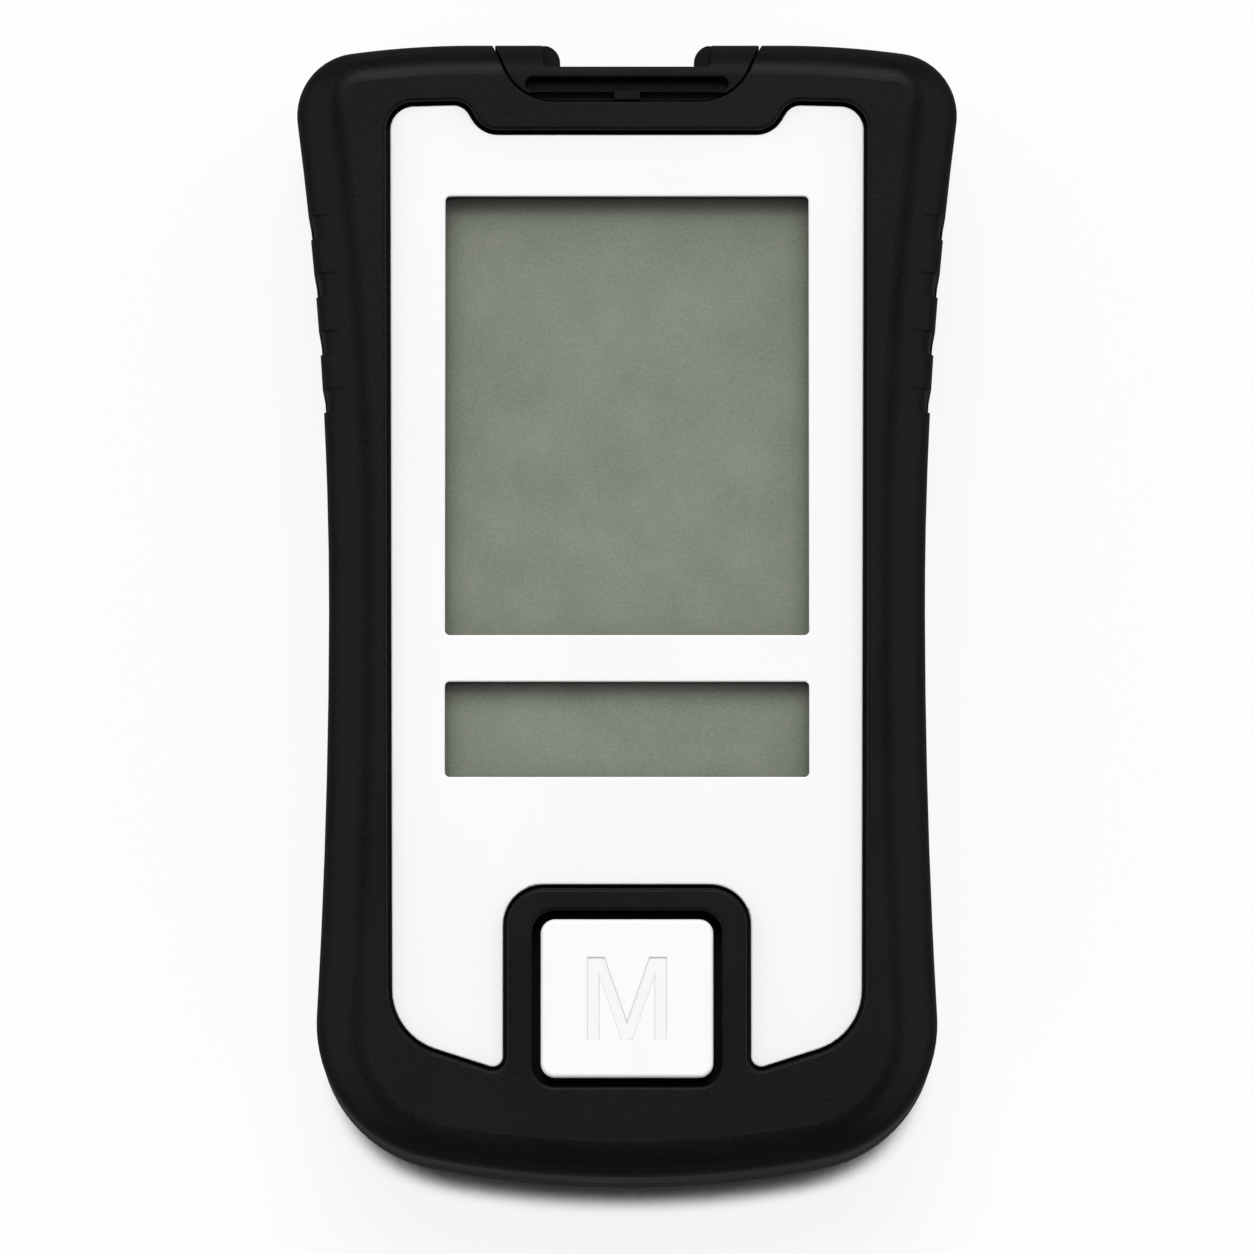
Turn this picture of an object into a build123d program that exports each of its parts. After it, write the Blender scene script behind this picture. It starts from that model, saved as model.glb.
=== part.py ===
from build123d import *

import os
from math import sqrt

# Hand-held blood glucose meter, lying on its back.
# Millimetres. +Z is up through the face, +Y is the test-strip end, X is across the case.
# The origin is the middle of the case, on the surface that the back rests on.

# ------------------------------------------------------------------ driving sizes: case
case_length = 95.0
seam_below_connector = 0.9
wall = 2.0
back_floor = 1.8
back_edge_radius = 4.0

waist_half_width = 24.9
waist_y = -0.3
top_corner_flare = 3.4
top_corner_drop = 1.6
top_straight_half_width = 13.0
top_corner_radius = 5.2
bottom_corner_flare = 1.55
bottom_corner_rise = 4.2
bottom_corner_radius = 11.5

flank_shoulder_width = 3.3
end_shoulder_width = 1.5
shoulder_drop = 2.4
shoulder_radius = 2.4
seam_chamfer = 0.2

lip_height = 1.0
lip_width = 0.9
lip_clearance = 0.1

# grip notches down both flanks
grip_count = 4
grip_pitch = 4.85
grip_first_from_top = 15.4
grip_height = 2.0
grip_reach = 1.9
grip_depth = 0.32
grip_low_z = 6.5
grip_corner_radius = 0.45

# ------------------------------------------------------------------ driving sizes: face plate
plate_from_flank = 5.1
plate_thickness = 1.3
plate_below_rim = 0.6
plate_gap = 0.35
plate_lobe_from_top = 5.33
plate_lobe_slope_drop = 0.15
plate_neck_drop = 2.5
plate_neck_beside_port = 3.05
plate_lobe_beside_neck = 1.5
plate_top_corner_radius = 2.0
plate_lobe_radius = 1.45
plate_neck_radius = 2.5
plate_taper = 0.28
plate_shoulder_from_bottom = 11.77
plate_tip_drop = 2.95
plate_bottom_corner_radius = 5.2
plate_tip_radius = 0.85
plate_cut_beside_key = 3.13
plate_cut_above_key = 2.93
plate_cut_radius = 3.4
plate_edge_radius = 0.15
rim_edge_radius = 0.3

window_from_plate_side = 4.63
window_radius = 0.4
large_window_from_neck = 5.17
window_bridge = 3.9
small_window_length = 7.96
small_window_from_cut = 8.98

# ------------------------------------------------------------------ driving sizes: key
key_from_bottom = 14.8
key_width = 14.36
key_length = 13.2
key_radius = 1.2
key_gap = 0.72
key_below_rim = 0.1
key_edge_radius = 0.35
key_travel = 0.9
key_flange_overlap = 0.85
key_flange_thickness = 1.05
key_flange_gap = 0.15

# letter on the key
mark_height = 6.7
mark_width = 6.5
mark_stem = 0.9
mark_shoulder = 1.35
mark_apex = 0.85
mark_depth = 0.14
mark_bevel = 0.11

# key pad, a silicone dome between the key and the board
pad_half_width = 6.6
pad_base_thickness = 0.5
pad_dome_base_radius = 5.2
pad_dome_top_radius = 3.6
pad_skin = 0.7
pad_stroke_gap = 0.1

# ------------------------------------------------------------------ driving sizes: strip port
port_depth = 5.1
port_base_half_width = 9.15
port_side_slope = 0.42
port_base_radius = 4.6
port_wall = 1.5
port_gap = 0.15
port_floor_thickness = 1.5
port_edge_radius = 0.12
groove_edge_radius = 0.12

notch_depth = 2.15
notch_half_width = 7.05
notch_back_half_width = 5.6
notch_corner_radius = 0.45
notch_mouth_radius = 0.35
notch_back_mouth_radius = 1.5
notch_ledge_drop = 3.2
notch_mouth_step = 0.05
notch_wall = 2.0

finger_groove_width = 17.0
finger_groove_length = 1.22
finger_groove_depth = 1.4
finger_groove_shallow = 0.5
finger_groove_from_notch = 0.84
snap_slot_depth = 0.9
snap_slot_length = 0.65
snap_slot_outer_x = 8.2
snap_slot_inner_x = 1.05

strip_slot_half_width = 3.9
strip_slot_height = 1.4

connector_half_width = 6.6
connector_length = 11.0
connector_height = 3.2
connector_socket_depth = 8.5
connector_mouth_gap = 0.2
contact_count = 4
contact_pitch = 1.7
contact_width = 0.8
contact_thickness = 0.2
contact_bow = 0.45

# ------------------------------------------------------------------ driving sizes: display
deck_thickness = 1.0
lens_thickness = 0.7
lens_overlap = 0.9
lens_clearance = 0.2
polariser_thickness = 0.2
polariser_margin = 0.3
glass_thickness = 0.7
glass_overlap = 0.45
glass_ledge = 2.3
reflector_thickness = 0.2
reflector_margin = 0.5
holder_height = 3.3
holder_side_wall = 1.15
holder_end_wall = 0.55
holder_floor_rim = 3.0
holder_clearance = 0.05
zebra_width = 1.8

# ------------------------------------------------------------------ driving sizes: board
board_thickness = 1.2
board_above_bay = 0.15
board_from_flank = 3.9
board_head_step = 3.7
board_head_from_top = 13.0
board_end_from_top = 7.0
board_foot_step = 7.1
board_foot_from_bottom = 13.0
board_end_from_bottom = 4.5
board_corner_radius = 1.0

# parts on the back of the board: shares of the room between the cell bay and the strip socket
processor_width = 10.0
processor_share = 0.58
processor_place_share = 0.5
processor_x = -2.0
processor_height = 1.4
memory_chip_width = 5.0
memory_chip_share = 0.36
memory_chip_place_share = 0.62
memory_chip_x = -13.0
memory_chip_height = 1.5
lead_count = 8
lead_width = 0.35
lead_reach = 0.9
lead_thickness = 0.3
chip_lift = 0.1
crystal_length = 8.0
crystal_share = 0.17
crystal_place_share = 0.26
crystal_x = -12.4
crystal_edge_share = 0.25
buzzer_share = 0.57
buzzer_place_share = 0.53
buzzer_x = 12.5
buzzer_height = 3.0
buzzer_hole_radius = 0.8
chip_part_share = 0.11
chip_part_width = 1.2
chip_part_height = 0.7
chip_part_count = 6
chip_part_pitch = 2.4
chip_part_place_share = 0.91
chip_part_row_x = 9.5

# ------------------------------------------------------------------ driving sizes: cells and bay
cell_diameter = 10.5
cell_length = 44.5
cell_nub_diameter = 3.6
cell_nub_length = 0.8
cell_edge_radius = 0.5
cell_gap = 0.4
cell_door_gap = 0.3
spring_length = 4.2
spring_radius = 3.0
spring_wire_radius = 0.3
spring_turns = 4
terminal_thickness = 0.4
terminal_half_width = 4.3
terminal_tab_half_width = 1.5
terminal_tab_clearance = 0.15
bay_side_gap = 0.5
bay_wall = 1.2
bay_ceiling = 0.7
bay_ceiling_gap = 0.15
bay_from_bottom = 10.5

door_beside_bay = 1.4
door_undercut = 0.8
door_gap = 0.2
door_overlap = 0.8
door_end_height = 4.2
door_ridge_count = 4
door_ridge_pitch = 1.8
door_ridge_width = 0.9
door_ridge_length = 12.0
door_ridge_depth = 0.4
door_ridge_from_bottom = 13.5
bulkhead = 1.2

# ------------------------------------------------------------------ driving sizes: screws
case_screw_top_inset = 4.6
case_screw_from_top = 8.5
case_screw_bottom_inset = 8.0
case_screw_from_bottom = 9.0
case_screw_radius = 1.0
case_screw_head_radius = 2.1
case_screw_head_height = 1.5
case_screw_length = 10.0
case_screw_recess = 5.2
case_recess_radius = 2.6
case_post_radius = 3.3
case_boss_radius = 2.6

board_screw_top_inset = 10.3
board_screw_from_top = 8.8
board_screw_bottom_inset = 12.9
board_screw_from_bottom = 7.1
board_screw_radius = 0.8
board_screw_head_radius = 1.6
board_screw_head_height = 1.0
board_screw_length = 3.6
board_boss_radius = 1.9

head_edge_share = 0.33
screw_fit = 0.05
screw_clearance = 0.25
pilot_spare = 0.4
cross_arm = 0.7
cross_width = 0.45
cross_depth = 0.7

# shallow bare panel on the back
panel_width = 30.0
panel_share = 0.55
panel_depth = 0.2
panel_radius = 2.0

# ------------------------------------------------------------------ heights, from the back up
half_length = case_length / 2
cell_bottom_z = back_floor + cell_door_gap
cell_z = cell_bottom_z + cell_diameter / 2
bay_inside_top_z = cell_bottom_z + cell_diameter + bay_ceiling_gap
bay_top_z = bay_inside_top_z + bay_ceiling
board_bottom_z = bay_top_z + board_above_bay
board_top_z = board_bottom_z + board_thickness
deck_bottom_z = board_top_z + holder_height
plate_bottom_z = deck_bottom_z + deck_thickness
plate_top_z = plate_bottom_z + plate_thickness
rim_z = plate_top_z + plate_below_rim

lens_bottom_z = plate_bottom_z - lens_thickness
front_glass_z = deck_bottom_z - glass_thickness
rear_glass_z = front_glass_z - glass_thickness
reflector_z = rear_glass_z - reflector_thickness
key_top_z = rim_z - key_below_rim
flange_top_z = deck_bottom_z - key_flange_gap
flange_bottom_z = flange_top_z - key_flange_thickness
strip_z = board_bottom_z - connector_height / 2
seam_height = board_bottom_z - connector_height - seam_below_connector

# ------------------------------------------------------------------ places along the case
port_base_y = half_length - port_depth
notch_y = half_length - notch_depth
connector_end_y = port_base_y - connector_mouth_gap
connector_back_y = connector_end_y - connector_length
grip_first_y = half_length - grip_first_from_top
key_centre_y = -half_length + key_from_bottom
plate_lobe_y = half_length - plate_lobe_from_top
plate_neck_y = plate_lobe_y - plate_neck_drop
plate_shoulder_y = -half_length + plate_shoulder_from_bottom
plate_tip_y = plate_shoulder_y - plate_tip_drop
plate_cut_top_y = key_centre_y + key_length / 2 + plate_cut_above_key
large_window_top_y = plate_neck_y - large_window_from_neck
small_window_bottom_y = plate_cut_top_y + small_window_from_cut
small_window_top_y = small_window_bottom_y + small_window_length
large_window_bottom_y = small_window_top_y + window_bridge

bay_length = 2 * terminal_thickness + spring_length + cell_length
bay_start_y = -half_length + bay_from_bottom
bay_end_y = bay_start_y + bay_length
door_end_y = bay_end_y + door_overlap
room_start_y = bay_end_y + bay_wall
room_length = connector_back_y - room_start_y
board_head_start = half_length - board_head_from_top
board_head_end = half_length - board_end_from_top
board_foot_start = -half_length + board_foot_from_bottom
board_foot_end = -half_length + board_end_from_bottom
panel_length = panel_share * (half_length - bay_end_y - door_overlap)
panel_y = (half_length + bay_end_y) / 2

# ------------------------------------------------------------------ places across the case
top_corner_half_width = waist_half_width + top_corner_flare
bottom_corner_half_width = waist_half_width + bottom_corner_flare
cell_spacing = cell_diameter + cell_gap
bay_half_width = cell_spacing / 2 + cell_diameter / 2 + bay_side_gap
door_half_width = bay_half_width + door_beside_bay
plate_half_width = waist_half_width - plate_from_flank
plate_foot_half_width = plate_half_width - plate_taper
plate_neck_half_width = port_base_half_width + plate_neck_beside_port
plate_lobe_half_width = plate_neck_half_width + plate_lobe_beside_neck
plate_cut_half_width = key_width / 2 + plate_cut_beside_key
window_half_width = plate_half_width - window_from_plate_side
board_half_width = waist_half_width - board_from_flank
board_head_half_width = board_half_width - board_head_step
board_foot_half_width = board_half_width - board_foot_step

lens_half_x = window_half_width + lens_overlap
lens_top_y = large_window_top_y + lens_overlap
lens_bottom_y = small_window_bottom_y - lens_overlap
glass_half_x = lens_half_x + lens_clearance + glass_overlap
glass_top_y = lens_top_y + lens_clearance + glass_overlap
rear_glass_bottom_y = lens_bottom_y + lens_clearance
glass_bottom_y = rear_glass_bottom_y - glass_ledge

case_screw_top = (waist_half_width - case_screw_top_inset, half_length - case_screw_from_top)
case_screw_bottom = (waist_half_width - case_screw_bottom_inset, -half_length + case_screw_from_bottom)
board_screw_top = (waist_half_width - board_screw_top_inset, half_length - board_screw_from_top)
board_screw_bottom = (waist_half_width - board_screw_bottom_inset, -half_length + board_screw_from_bottom)
case_screw_z = case_screw_recess
case_pilot_top_z = case_screw_z + case_screw_length + pilot_spare
board_pilot_top_z = board_bottom_z + board_screw_length + pilot_spare

PAST = 2.0          # how far a cutting solid runs past the surface that it cuts
TOUCH = 0.001       # closer than this counts as touching


# ------------------------------------------------------------------ helpers
def box(x0, x1, y0, y1, z0, z1):
    """Solid block between two corners."""
    middle = ((x0 + x1) / 2, (y0 + y1) / 2, (z0 + z1) / 2)
    return Pos(*middle) * Box(x1 - x0, y1 - y0, z1 - z0)


def wide_box(half_x, y0, y1, z0, z1):
    """Solid block centred across the case."""
    return box(-half_x, half_x, y0, y1, z0, z1)


def slab(sketch, z0, z1):
    """Flat sketch extruded between two heights."""
    return extrude(Pos(0, 0, z0) * sketch, z1 - z0)


def rod(place, radius, z0, z1):
    """Upright cylinder between two heights."""
    return Pos(place[0], place[1], (z0 + z1) / 2) * Cylinder(radius, z1 - z0)


def lying_rod(x, z, radius, y0, y1):
    """Cylinder lying along the case."""
    return Pos(x, (y0 + y1) / 2, z) * Rot(90, 0, 0) * Cylinder(radius, y1 - y0)


def both_sides(*places):
    """Places and their mirror images across the case."""
    return [(side * x, y) for x, y in places for side in (-1, 1)]


def joined(shapes):
    """All shapes fused into one."""
    total = shapes[0]
    for shape in shapes[1:]:
        total = total + shape
    return total


def save(name, *solids):
    """Write one piece, or a group of like pieces, as its own STEP file."""
    shape = solids[0] if len(solids) == 1 else Compound(children=list(solids))
    shape.label = name
    export_step(shape, os.path.join("parts", name + ".step"))


case_screw_places = both_sides(case_screw_top, case_screw_bottom)
board_screw_places = both_sides(board_screw_top, board_screw_bottom)


# ------------------------------------------------------------------ outlines
def arc_radius(run, rise):
    """Radius of an arc that leaves its start square to the rise and ends run along, rise across."""
    return (run ** 2 + rise ** 2) / (2 * rise)


def crossings(centre_a, radius_a, centre_b, radius_b):
    """Both points where two circles cross."""
    between = Vector(*centre_b) - Vector(*centre_a)
    along = (radius_a ** 2 - radius_b ** 2 + between.length ** 2) / (2 * between.length)
    across = sqrt(radius_a ** 2 - along ** 2)
    direction = between.normalized()
    square = Vector(-direction.Y, direction.X)
    foot = Vector(*centre_a) + direction * along
    return foot + square * across, foot - square * across


top_corner_y = half_length - top_corner_drop
bottom_corner_y = -half_length + bottom_corner_rise
upper_flank_radius = arc_radius(top_corner_y - waist_y, top_corner_half_width - waist_half_width)
lower_flank_radius = arc_radius(waist_y - bottom_corner_y, bottom_corner_half_width - waist_half_width)
top_edge_radius = arc_radius(top_corner_half_width - top_straight_half_width, top_corner_drop)
bottom_edge_radius = arc_radius(bottom_corner_half_width, bottom_corner_rise)


def case_corners(flank_inset, end_inset):
    """Where flank and end arcs of the shrunken plan would cross, top and bottom."""
    top = crossings(
        (waist_half_width + upper_flank_radius, waist_y),
        upper_flank_radius + flank_inset,
        (top_straight_half_width, half_length - top_edge_radius),
        top_edge_radius - end_inset,
    )
    bottom = crossings(
        (waist_half_width + lower_flank_radius, waist_y),
        lower_flank_radius + flank_inset,
        (0, -half_length + bottom_edge_radius),
        bottom_edge_radius - end_inset,
    )
    return max(top, key=lambda point: point.Y), min(bottom, key=lambda point: point.Y)


def inset_outline(flank_inset, end_inset):
    """Waisted plan of the case, shrunk by one amount at the flanks and another at the ends."""
    top_corner, bottom_corner = case_corners(flank_inset, end_inset)
    waist = (waist_half_width - flank_inset, waist_y)
    top_y = half_length - end_inset
    top_bend = (top_straight_half_width, top_y)
    right = [
        Line((0, top_y), top_bend),
        TangentArc(top_bend, top_corner, tangent=(1, 0)),
        TangentArc(waist, top_corner, tangent=(0, 1)),
        TangentArc(waist, bottom_corner, tangent=(0, -1)),
        TangentArc((0, -half_length + end_inset), bottom_corner, tangent=(1, 0)),
    ]
    left = [mirror(edge, about=Plane.YZ) for edge in right]
    plan = make_face(Curve() + right + left)
    corner_inset = (flank_inset + end_inset) / 2
    for corner, radius in ((top_corner, top_corner_radius), (bottom_corner, bottom_corner_radius)):
        for x, y in both_sides((corner.X, corner.Y)):
            plan = fillet(plan.vertices().sort_by_distance(Vector(x, y))[0], radius - corner_inset)
    return plan


def case_outline(inset=0.0):
    """Waisted plan of the case, or the same plan shrunk by inset."""
    return inset_outline(inset, inset)


def flank_x(y):
    """Half width of the case above its waist."""
    return waist_half_width + upper_flank_radius - sqrt(upper_flank_radius ** 2 - (y - waist_y) ** 2)


def plate_outline(grow=0.0):
    """Plan of the white plate: lobes beside the strip port, two legs beside the key."""
    points = [
        (0, plate_neck_y),
        (plate_neck_half_width, plate_neck_y),
        (plate_lobe_half_width, plate_lobe_y),
        (plate_half_width, plate_lobe_y - plate_lobe_slope_drop),
        (plate_foot_half_width, plate_shoulder_y),
        (plate_cut_half_width, plate_tip_y),
        (plate_cut_half_width, plate_cut_top_y),
        (0, plate_cut_top_y),
    ]
    radii = [
        plate_neck_radius,
        plate_lobe_radius,
        plate_top_corner_radius,
        plate_bottom_corner_radius,
        plate_tip_radius,
        plate_cut_radius,
    ]
    right = FilletPolyline(*points, radius=radii)
    plan = make_face(Curve() + [right, mirror(right, about=Plane.YZ)])
    return offset(plan, grow) if grow else plan


def port_outline(grow=0.0):
    """Plan of the strip port: it widens towards the end of the case and runs past it."""
    reach = half_length + PAST - port_base_y
    mouth_half_width = port_base_half_width + port_side_slope * reach
    points = [
        (-mouth_half_width, port_base_y + reach),
        (-port_base_half_width, port_base_y),
        (port_base_half_width, port_base_y),
        (mouth_half_width, port_base_y + reach),
    ]
    sides = FilletPolyline(*points, radius=port_base_radius)
    mouth = Line(points[-1], points[0])
    plan = make_face(Curve() + [sides, mouth])
    return offset(plan, grow) if grow else plan


def key_plan(grow=0.0):
    """Plan of the key, or of the hole round it."""
    return Pos(0, key_centre_y) * RectangleRounded(
        key_width + 2 * grow, key_length + 2 * grow, key_radius + grow
    )


def notch(half_width, mouth_radius, z0, z1):
    """Finger notch in the strip end, with round inner corners and round corners at its mouth."""
    mouth_y = half_length + notch_mouth_step
    flare = half_width + 2 * mouth_radius
    points = [
        (-flare, mouth_y),
        (-half_width, mouth_y),
        (-half_width, notch_y),
        (half_width, notch_y),
        (half_width, mouth_y),
        (flare, mouth_y),
    ]
    radii = [mouth_radius, notch_corner_radius, notch_corner_radius, mouth_radius]
    sides = FilletPolyline(*points, radius=radii)
    outside = Polyline(points[-1], (flare, mouth_y + PAST), (-flare, mouth_y + PAST), points[0])
    return slab(make_face(Curve() + [sides, outside]), z0, z1)


def edges_at(shape, z):
    """Edges that lie flat at one height."""
    return shape.edges().filter_by_position(Axis.Z, z - TOUCH, z + TOUCH)


def edges_on(shape, outline, z):
    """Edges at one height that follow the rim of an outline."""
    rim = (Pos(0, 0, z) * outline).wires()[0]
    return [edge for edge in edges_at(shape, z) if rim.distance_to(edge @ 0.5) < TOUCH]


def front_blank(inset=0.0):
    """Outer form of the front half: upright side, sloping shoulder, flat rim."""
    shoulder_z = rim_z - shoulder_drop
    foot = case_outline(inset)
    top = inset_outline(inset + flank_shoulder_width, inset + end_shoulder_width)
    blank = slab(foot, seam_height, shoulder_z)
    blank += loft([Pos(0, 0, shoulder_z) * foot, Pos(0, 0, rim_z) * top], ruled=True)
    blank = fillet(edges_at(blank, rim_z), shoulder_radius)
    blank = fillet(edges_at(blank, shoulder_z), shoulder_radius)
    return chamfer(edges_at(blank, seam_height), seam_chamfer)


def rear_blank():
    """Outer form of the rear half, with a round back edge."""
    blank = slab(case_outline(), 0, seam_height)
    blank = fillet(edges_at(blank, 0), back_edge_radius)
    return chamfer(edges_at(blank, seam_height), seam_chamfer)


# ------------------------------------------------------------------ front case
def grip_bars():
    """Upright bars where the grip notches go, down both flanks."""
    bars = []
    for step in range(grip_count):
        y = grip_first_y - step * grip_pitch
        inner_x = flank_x(y) - grip_reach
        length = half_length
        plan = Pos(inner_x + length / 2, y) * RectangleRounded(length, grip_height, grip_corner_radius)
        bars.append(slab(plan, grip_low_z, rim_z))
    right = joined(bars)
    return right + mirror(right, about=Plane.YZ)


def make_front_case(form):
    grip_skin = form - front_blank(grip_depth)
    body = form - (grip_skin & grip_bars())
    body -= slab(case_outline(wall), seam_height, deck_bottom_z)
    rebate_inset = wall - lip_width - lip_clearance
    body -= slab(case_outline(rebate_inset), seam_height, seam_height + lip_height + lip_clearance)

    inside = slab(case_outline(wall / 2), seam_height, deck_bottom_z)
    for place in case_screw_places:
        body += rod(place, case_boss_radius, seam_height, deck_bottom_z) & inside
    for place in board_screw_places:
        body += rod(place, board_boss_radius, board_top_z, deck_bottom_z)
    for place in case_screw_places:
        body -= rod(place, case_screw_radius + screw_fit, seam_height, case_pilot_top_z)
    for place in board_screw_places:
        body -= rod(place, board_screw_radius + screw_fit, board_top_z, board_pilot_top_z)

    body += slab(port_outline(port_wall), seam_height, deck_bottom_z) & inside
    body -= slab(port_outline(), seam_height - PAST, rim_z + PAST)
    window_half = connector_half_width + port_gap
    window_low = board_bottom_z - connector_height - port_gap
    window_high = board_bottom_z + port_gap
    window_start_y = port_base_y - port_wall - PAST
    body -= wide_box(window_half, window_start_y, port_base_y + PAST, window_low, window_high)

    body -= slab(plate_outline(plate_gap), plate_bottom_z, rim_z + PAST)
    body -= wide_box(
        lens_half_x + lens_clearance,
        lens_bottom_y - lens_clearance,
        lens_top_y + lens_clearance,
        deck_bottom_z - PAST,
        rim_z,
    )
    body -= slab(key_plan(key_gap), deck_bottom_z - PAST, rim_z + PAST)
    body = fillet(edges_on(body, plate_outline(plate_gap), rim_z), rim_edge_radius)
    body = fillet(edges_on(body, key_plan(key_gap), rim_z), rim_edge_radius)
    return fillet(edges_on(body, port_outline(), rim_z), port_edge_radius)


# ------------------------------------------------------------------ rear case and cell door
def door_section(grow):
    """Section of the door across the case: its long sides are undercut and hold it in."""
    half_out = door_half_width + grow
    half_in = half_out + door_undercut
    return half_out, half_in


def door_prism(grow):
    """Straight bar along the case that cuts the door, or its opening, out of the rear half."""
    half_out, half_in = door_section(grow)
    end_y = door_end_y + grow
    flat_top = back_floor + grow
    below = -PAST
    below_half = half_out - PAST * door_undercut / back_floor
    points = [
        (-below_half, 0, below),
        (below_half, 0, below),
        (half_in, 0, back_floor),
        (half_in, 0, flat_top + PAST),
        (-half_in, 0, flat_top + PAST),
        (-half_in, 0, back_floor),
    ]
    section = make_face(Polyline(*points, close=True))
    bar = Pos(0, end_y, 0) * extrude(section, amount=half_length + PAST + end_y, dir=(0, -1, 0))
    flat = bar & wide_box(half_length, -half_length - PAST, end_y + PAST, below, flat_top)
    toe_y = -half_length + wall + grow
    return flat + wide_box(half_in, -half_length - PAST, toe_y, back_floor, door_end_height + grow)


def make_rear_case(form):
    body = form - slab(case_outline(wall), back_floor, seam_height + PAST)
    grip_skin = form - slab(case_outline(grip_depth), 0, seam_height)
    body -= grip_skin & grip_bars()
    inside = slab(case_outline(wall / 2), 0, seam_height)

    lip = slab(case_outline(wall - lip_width), seam_height - PAST, seam_height + lip_height)
    lip -= slab(case_outline(wall), seam_height - 2 * PAST, seam_height + PAST)
    lip -= slab(port_outline(port_wall + port_gap), seam_height, seam_height + PAST)
    for place in case_screw_places:
        lip -= rod(place, case_boss_radius + lip_clearance, seam_height, seam_height + PAST)
    body += lip

    # ledge over the toe of the door, with a bulkhead behind it
    _, door_half_in = door_section(door_gap)
    ledge_half = door_half_in + bulkhead
    toe_y = -half_length + wall + door_gap
    ledge_z = door_end_height + door_gap
    body += wide_box(ledge_half, toe_y, toe_y + bulkhead, back_floor, seam_height)
    body += wide_box(ledge_half, -half_length, toe_y + bulkhead, ledge_z, ledge_z + bulkhead) & inside
    body += wide_box(ledge_half, toe_y, bay_start_y, back_floor, back_floor + bulkhead)

    bay_outer_half = bay_half_width + bay_wall
    body += wide_box(bay_outer_half, bay_start_y - bay_wall, bay_end_y + bay_wall, back_floor, bay_top_z)
    body -= door_prism(door_gap)
    body -= wide_box(bay_half_width, bay_start_y, bay_end_y, 0, bay_inside_top_z)
    for side in (-1, 1):
        x = side * cell_spacing / 2
        half = terminal_tab_half_width + terminal_tab_clearance
        body -= box(
            x - half,
            x + half,
            bay_end_y - terminal_thickness - terminal_tab_clearance,
            bay_end_y + terminal_tab_clearance,
            bay_inside_top_z - PAST,
            bay_top_z + PAST,
        )

    for place in case_screw_places:
        body += rod(place, case_post_radius, back_floor / 2, seam_height) & inside
        body -= rod(place, case_recess_radius, -PAST, case_screw_z)
        body -= rod(place, case_screw_radius + screw_clearance, 0, seam_height + PAST)

    floor = slab(port_outline(port_wall), seam_height - port_floor_thickness, seam_height)
    body += floor & inside
    notch_wall_half = notch_back_half_width + notch_wall
    body += wide_box(notch_wall_half, notch_y - notch_wall, half_length - wall, 0, seam_height) & inside
    body -= notch(notch_back_half_width, notch_back_mouth_radius, -PAST, seam_height + PAST)

    panel = Pos(0, panel_y) * RectangleRounded(panel_width, panel_length, panel_radius)
    body -= slab(panel, -PAST, panel_depth)
    return body


def make_battery_door(form):
    body = form - slab(case_outline(wall), back_floor, seam_height + PAST)
    body = body & door_prism(0)
    for step in range(door_ridge_count):
        y = -half_length + door_ridge_from_bottom - step * door_ridge_pitch
        ridge = Pos(0, y) * SlotOverall(door_ridge_length, door_ridge_width)
        body -= slab(ridge, -PAST, door_ridge_depth)
    return body


# ------------------------------------------------------------------ strip port
def strip_slot(y0, y1):
    """Channel that the test strip slides along."""
    half_slot = strip_slot_height / 2
    return wide_box(strip_slot_half_width, y0, y1, strip_z - half_slot, strip_z + half_slot)


def make_port_cover(form):
    """Insert that slides out of the strip end for cleaning the socket."""
    plan = port_outline(-port_gap)
    body = form & slab(plan, seam_height + port_gap, rim_z)
    body -= notch(notch_half_width, notch_mouth_radius, rim_z - notch_ledge_drop, rim_z + PAST)
    body -= notch(notch_back_half_width, notch_back_mouth_radius, 0, rim_z)

    groove_high_y = notch_y - finger_groove_from_notch
    groove_low_y = groove_high_y - finger_groove_length
    groove_middle = Pos(0, (groove_high_y + groove_low_y) / 2)
    groove = groove_middle * SlotOverall(finger_groove_width, finger_groove_length)
    ramp = Polyline(
        (0, groove_high_y + PAST, rim_z + PAST),
        (0, groove_high_y + PAST, rim_z - finger_groove_depth),
        (0, groove_high_y, rim_z - finger_groove_depth),
        (0, groove_low_y, rim_z - finger_groove_shallow),
        (0, groove_low_y - PAST, rim_z - finger_groove_shallow),
        (0, groove_low_y - PAST, rim_z + PAST),
        close=True,
    )
    above_ramp = extrude(make_face(ramp), finger_groove_width, both=True)
    body -= slab(groove, rim_z - 2 * finger_groove_depth, rim_z + PAST) & above_ramp
    body = fillet(edges_on(body, groove, rim_z), groove_edge_radius)

    slot_bottom = rim_z - snap_slot_depth
    slot_end_y = port_base_y + port_gap + snap_slot_length
    for x0, x1 in ((-snap_slot_outer_x, -snap_slot_inner_x), (snap_slot_inner_x, snap_slot_outer_x)):
        body -= box(x0, x1, port_base_y, slot_end_y, slot_bottom, rim_z + PAST)

    body -= strip_slot(port_base_y - PAST, half_length + PAST)
    return fillet(edges_on(body, plan, rim_z), port_edge_radius)


def make_strip_connector():
    low_z = board_bottom_z - connector_height
    body = wide_box(connector_half_width, connector_back_y, connector_end_y, low_z, board_bottom_z)
    socket_y = connector_end_y - connector_socket_depth
    return body - strip_slot(socket_y, connector_end_y + PAST)


def contact_places():
    """Places across the socket of the spring fingers."""
    first = -contact_pitch * (contact_count - 1) / 2
    return [first + step * contact_pitch for step in range(contact_count)]


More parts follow.
